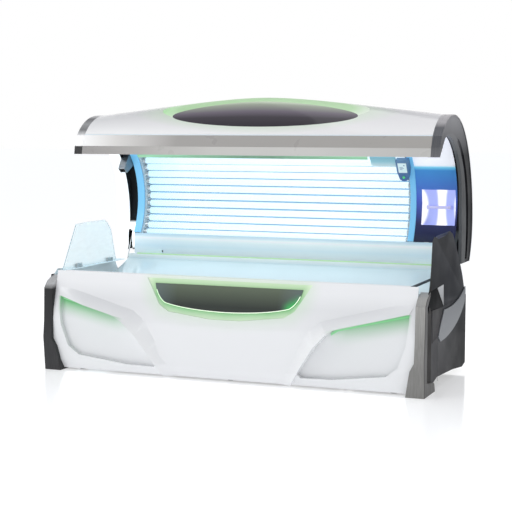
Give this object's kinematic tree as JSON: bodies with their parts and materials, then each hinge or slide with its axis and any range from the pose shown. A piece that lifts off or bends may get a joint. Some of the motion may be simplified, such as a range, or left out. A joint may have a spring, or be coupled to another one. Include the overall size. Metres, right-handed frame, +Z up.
{
  "type": "clamshell tanning bed",
  "caption": "Full-length tanning bed with a curved lying surface over lamps, a hinged lamp canopy on gas springs, moulded front and end covers, facial tanner bay and control pod.",
  "frame": {"origin": "on the floor under the middle of the bed's overall box", "axes": "+X along the bed towards the head end, -Y towards the side a person gets in from, +Z up; the canopy is drawn open"},
  "size_m": [2.27, 1.176, 1.5726],
  "materials": {
    "white_gloss": "gloss",
    "white_panel": "gloss",
    "grey_trim": "satin",
    "lip_trim_grey": "satin",
    "dark_cover": "satin",
    "side_charcoal": "satin",
    "end_black": "satin",
    "post_silver": "metallic satin",
    "blade_grey": "metallic satin",
    "strip_grey": "brushed",
    "emblem_dark": "gloss",
    "lens_smoke": "gloss",
    "clear_acrylic": "clear",
    "shield_acrylic": "clear",
    "lamp_glass": "lit",
    "lamp_holder_white": "matte",
    "reflector_alu": "bright",
    "frame_blue": "lit edge",
    "strip_pale_blue": "gloss",
    "bay_blue": "gloss",
    "face_silver": "satin",
    "pod_blue": "satin",
    "display_white": "lit",
    "button_green": "gloss",
    "nozzle_aqua": "satin",
    "scoop_metal": "metallic",
    "guide_green": "lit",
    "frame_steel": "powder coat",
    "tray_steel": "powder coat",
    "bracket_steel": "powder coat",
    "pin_steel": "turned",
    "spring_black": "gloss",
    "rod_chrome": "polished",
    "foot_rubber": "matte",
    "fan_black": "matte",
    "ballast_grey": "matte"
  },
  "bodies": {
    "bench": {"base_rails": "frame_steel", "frame_bars": "frame_steel", "levelling_feet": "foot_rubber", "lamp_tray": "tray_steel", "bench_reflector": "reflector_alu", "bench_lamps": "lamp_glass", "bench_lamp_holders": "lamp_holder_white", "bench_acrylic": "clear_acrylic", "bench_front_rim": "white_panel", "bench_rear_rim": "strip_pale_blue", "bench_light_guides": "guide_green", "front_panel": "white_panel", "emblem_plate": "emblem_dark", "front_post_left": "post_silver", "front_post_right": "post_silver", "side_panel_left": "side_charcoal", "side_panel_right": "side_charcoal", "side_blades": "blade_grey", "foot_end_cover": "side_charcoal", "head_fin": "side_charcoal", "foot_shield": "shield_acrylic", "shield_clamps": "pin_steel", "rear_panel": "dark_cover", "hinge_brackets": "bracket_steel", "hinge_pins": "pin_steel", "ballasts": "ballast_grey", "fan_housings": "fan_black", "mains_inlet": "fan_black", "spring_studs": "pin_steel"},
    "canopy": {"canopy_shell": "white_gloss", "canopy_rear_cover": "dark_cover", "canopy_brow_trim": "grey_trim", "canopy_lip_trim": "lip_trim_grey", "dome_lens": "lens_smoke", "canopy_light_guides": "guide_green", "canopy_strips": "strip_grey", "canopy_end_left": "end_black", "canopy_end_right": "end_black", "canopy_ribs": "frame_steel", "hinge_arms": "bracket_steel", "canopy_reflector": "reflector_alu", "canopy_lamps": "lamp_glass", "canopy_lamp_holders": "lamp_holder_white", "canopy_acrylic": "clear_acrylic", "canopy_side_frames": "frame_blue", "canopy_lower_strip": "strip_pale_blue", "head_bay_panel": "bay_blue", "facial_reflector": "face_silver", "facial_lamp": "lamp_glass", "control_pod": "pod_blue", "pod_display": "display_white", "foot_nozzle": "scoop_metal"},
    "start_button": {"start_button": "button_green"},
    "air_nozzle": {"air_nozzle": "nozzle_aqua"},
    "gas_cylinder_left": {"gas_cylinder_left": "spring_black"},
    "gas_cylinder_right": {"gas_cylinder_right": "spring_black"},
    "gas_rod_left": {"gas_rod_left": "rod_chrome"},
    "gas_rod_right": {"gas_rod_right": "rod_chrome"},
    "fan_rotor_left": {"fan_rotor_left": "fan_black"},
    "fan_rotor_right": {"fan_rotor_right": "fan_black"}
  },
  "joints": [
    {"name": "canopy_hinge", "type": "hinge", "parent": "bench", "child": "canopy", "pos_m": [0, 0.547, 0.6], "axis": [1, 0, 0], "range_deg": [0, 39], "stiffness_Nm_per_rad": 418.1, "springref_deg": -36.82},
    {"name": "gas_left_pivot", "type": "hinge", "parent": "bench", "child": "gas_cylinder_left", "pos_m": [-1.075, 0.267, 0.3], "axis": [1, 0, 0], "range_deg": [0, 6]},
    {"name": "gas_left_slide", "type": "slide", "parent": "gas_cylinder_left", "child": "gas_rod_left", "axis": [0, 0.4268, 0.9044], "range_m": [-0.101, 0]},
    {"name": "gas_right_pivot", "type": "hinge", "parent": "bench", "child": "gas_cylinder_right", "pos_m": [1.075, 0.267, 0.3], "axis": [1, 0, 0], "range_deg": [0, 6]},
    {"name": "gas_right_slide", "type": "slide", "parent": "gas_cylinder_right", "child": "gas_rod_right", "axis": [0, 0.4268, 0.9044], "range_m": [-0.101, 0]},
    {"name": "start_button_press", "type": "slide", "parent": "canopy", "child": "start_button", "axis": [0, 0.9026, 0.4305], "range_m": [0, 0.0015], "stiffness_N_per_m": 800},
    {"name": "air_nozzle_tilt", "type": "hinge", "parent": "canopy", "child": "air_nozzle", "pos_m": [0.7, 0.36836, 1.20501], "axis": [1, 0, 0], "range_deg": [-12, 20]},
    {"name": "fan_left_spin", "type": "hinge", "parent": "bench", "child": "fan_rotor_left", "pos_m": [-0.42, 0.362, 0.25], "axis": [0, 1, 0], "continuous": true},
    {"name": "fan_right_spin", "type": "hinge", "parent": "bench", "child": "fan_rotor_right", "pos_m": [0.42, 0.362, 0.25], "axis": [0, 1, 0], "continuous": true}
  ],
  "couplings": [
    {"joint": "gas_left_pivot", "follows": "canopy_hinge", "ratio": 0.1343},
    {"joint": "gas_right_pivot", "follows": "canopy_hinge", "ratio": 0.1343},
    {"joint": "gas_left_slide", "follows": "canopy_hinge", "m_per_rad": -0.14649},
    {"joint": "gas_right_slide", "follows": "canopy_hinge", "m_per_rad": -0.14649}
  ]
}
